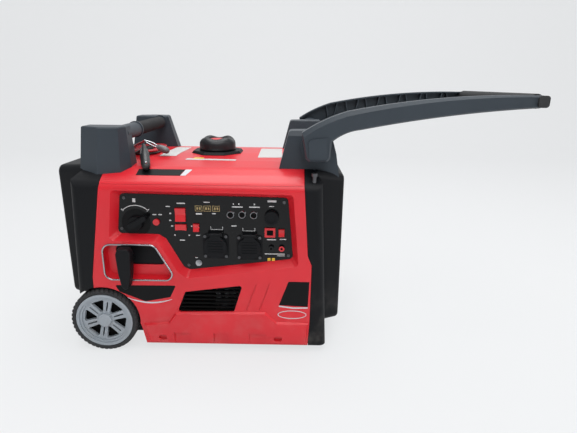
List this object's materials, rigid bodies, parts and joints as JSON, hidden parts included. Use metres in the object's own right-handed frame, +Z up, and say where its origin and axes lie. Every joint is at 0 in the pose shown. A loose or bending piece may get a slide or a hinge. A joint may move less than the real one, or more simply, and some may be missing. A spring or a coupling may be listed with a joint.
{
  "type": "portable generator",
  "caption": "Closed wheeled inverter generator with a folding tow handle, a control panel, pull start, carrying bar, screw fuel cap and a stowed battery lead.",
  "frame": {"origin": "middle of the case, on the flat pad under the base tray, 16 mm above the floor the wheels and feet stand on", "axes": "+X along the case towards the end with the tow handle, +Y away from the control side, +Z up"},
  "size_m": [0.972, 0.4619, 0.556],
  "materials": {
    "red_plastic": "moulded, semi-gloss red",
    "black_plastic": "fine moulded grain",
    "dark_plastic": "satin charcoal grey",
    "panel_black": "gloss black",
    "steel": "zinc plated",
    "bright_trim": "polished",
    "rubber": "matt",
    "tyre": "moulded tread",
    "rim_grey": "satin silver grey",
    "cast": "as cast",
    "alloy": "as cast",
    "red_switch": "gloss",
    "yellow_plastic": "gloss",
    "tank_steel": "painted"
  },
  "bodies": {
    "case": {"base_tray": "black_plastic", "near_side_panel": "red_plastic", "far_side_panel": "red_plastic", "top_cover": "red_plastic", "left_end_frame": "black_plastic", "right_end_frame": "black_plastic", "left_end_cover": "black_plastic", "right_end_cover": "black_plastic", "left_towers": "dark_plastic", "right_towers": "dark_plastic", "carry_bar": "steel", "carry_grip": "rubber", "filler_flange": "black_plastic", "fuel_tank": "tank_steel", "side_grille": "black_plastic", "control_panel": "panel_black", "panel_screws": "steel", "ring_sockets": "bright_trim", "ac_sockets": "black_plastic", "lead_jacks": "panel_black", "earth_terminal": "steel", "recoil_bezel": "bright_trim", "recoil_housing": "black_plastic", "crankcase": "alloy", "cylinder_head": "alloy", "piston": "alloy", "connecting_rod": "steel", "stator": "steel", "muffler": "steel", "carburettor": "alloy", "air_filter_box": "black_plastic", "inverter_box": "alloy", "wheel_axle": "steel", "rubber_feet": "rubber", "lead_coil": "rubber", "lead_cord": "rubber", "lead_clip_black": "black_plastic", "lead_clip_red": "red_switch"},
    "tow_handle": {"tow_arms": "dark_plastic", "tow_grip_bar": "rubber"},
    "latch": {"latch_plunger": "cast"},
    "cap": {"fuel_cap": "dark_plastic"},
    "near_wheel": {"tyre_near": "tyre", "wheel_rim_near": "rim_grey"},
    "far_wheel": {"tyre_far": "tyre", "wheel_rim_far": "rim_grey"},
    "run_rocker": {"run_switch": "red_switch"},
    "eco_rocker": {"eco_switch": "red_switch"},
    "mode_rocker": {"mode_switch": "red_switch"},
    "breaker_rocker": {"breaker_button": "red_switch"},
    "breaker_press": {"breaker_switch": "red_switch"},
    "dial": {"fuel_dial": "black_plastic"},
    "start_press": {"start_button": "red_switch"},
    "dc_cover": {"dc_cap": "black_plastic"},
    "left_lid": {"ac_lid_left": "black_plastic"},
    "right_lid": {"ac_lid_right": "black_plastic"},
    "pull_grip": {"recoil_grip": "black_plastic"},
    "pull_pulley": {"recoil_pulley": "black_plastic"},
    "crank": {"crankshaft": "steel"},
    "door": {"service_door": "red_plastic"}
  },
  "joints": [
    {"name": "tow_fold", "type": "hinge", "parent": "case", "child": "tow_handle", "pos_m": [0.238, 0, 0.432], "axis": [0, 1, 0], "range_deg": [0, 95]},
    {"name": "near_wheel_spin", "type": "hinge", "parent": "case", "child": "near_wheel", "pos_m": [-0.211, -0.201, 0.0555], "axis": [0, 1, 0], "continuous": true},
    {"name": "far_wheel_spin", "type": "hinge", "parent": "case", "child": "far_wheel", "pos_m": [-0.211, 0.201, 0.0555], "axis": [0, 1, 0], "continuous": true},
    {"name": "latch_press", "type": "slide", "parent": "case", "child": "latch", "axis": [0, 0, -1], "range_m": [0, 0.006], "stiffness_N_per_m": 400, "springref_m": -0.001},
    {"name": "cap_turn", "type": "hinge", "parent": "case", "child": "cap", "pos_m": [0.008, 0.018, 0.404], "axis": [0, 0, 1], "range_deg": [0, 120]},
    {"name": "run_rock", "type": "hinge", "parent": "case", "child": "run_rocker", "pos_m": [-0.038, -0.196, 0.291], "axis": [1, 0, 0], "range_deg": [-7, 7]},
    {"name": "eco_rock", "type": "hinge", "parent": "case", "child": "eco_rocker", "pos_m": [-0.038, -0.196, 0.264], "axis": [0, 0, 1], "range_deg": [-7, 7]},
    {"name": "mode_rock", "type": "hinge", "parent": "case", "child": "mode_rocker", "pos_m": [-0.0065, -0.196, 0.2635], "axis": [1, 0, 0], "range_deg": [-7, 7]},
    {"name": "breaker_rock", "type": "hinge", "parent": "case", "child": "breaker_rocker", "pos_m": [0.171, -0.196, 0.2545], "axis": [1, 0, 0], "range_deg": [-7, 7]},
    {"name": "breaker_push", "type": "slide", "parent": "case", "child": "breaker_press", "axis": [0, 1, 0], "range_m": [0, 0.0025], "stiffness_N_per_m": 300, "springref_m": -0.001},
    {"name": "dial_turn", "type": "hinge", "parent": "case", "child": "dial", "pos_m": [-0.131, -0.2, 0.272], "axis": [0, 1, 0], "range_deg": [-100, 0]},
    {"name": "start_push", "type": "slide", "parent": "case", "child": "start_press", "axis": [0, 1, 0], "range_m": [0, 0.003], "stiffness_N_per_m": 300, "springref_m": -0.001},
    {"name": "dc_cap_turn", "type": "hinge", "parent": "case", "child": "dc_cover", "pos_m": [0.1505, -0.2, 0.288], "axis": [0, 1, 0], "range_deg": [0, 120]},
    {"name": "left_lid_lift", "type": "hinge", "parent": "case", "child": "left_lid", "pos_m": [0.033, -0.204, 0.251], "axis": [-1, 0, 0], "range_deg": [0, 110], "stiffness_Nm_per_rad": 0.05, "springref_deg": -17.19},
    {"name": "right_lid_lift", "type": "hinge", "parent": "case", "child": "right_lid", "pos_m": [0.104, -0.204, 0.249], "axis": [-1, 0, 0], "range_deg": [0, 110], "stiffness_Nm_per_rad": 0.05, "springref_deg": -17.19},
    {"name": "rope_pull", "type": "slide", "parent": "case", "child": "pull_grip", "axis": [0, -1, 0], "range_m": [0, 0.5], "stiffness_N_per_m": 40, "springref_m": -0.05},
    {"name": "pulley_turn", "type": "hinge", "parent": "case", "child": "pull_pulley", "pos_m": [-0.11, -0.183, 0.189], "axis": [0, -1, 0], "range_deg": [0, 800]},
    {"name": "crank_turn", "type": "hinge", "parent": "case", "child": "crank", "pos_m": [-0.11, 0, 0.189], "axis": [0, 1, 0], "continuous": true},
    {"name": "door_swing", "type": "hinge", "parent": "case", "child": "door", "pos_m": [-0.062, 0.216, 0.204], "axis": [0, 0, 1], "range_deg": [0, 110]}
  ],
  "couplings": [
    {"joint": "pulley_turn", "follows": "rope_pull", "rad_per_m": 25}
  ]
}
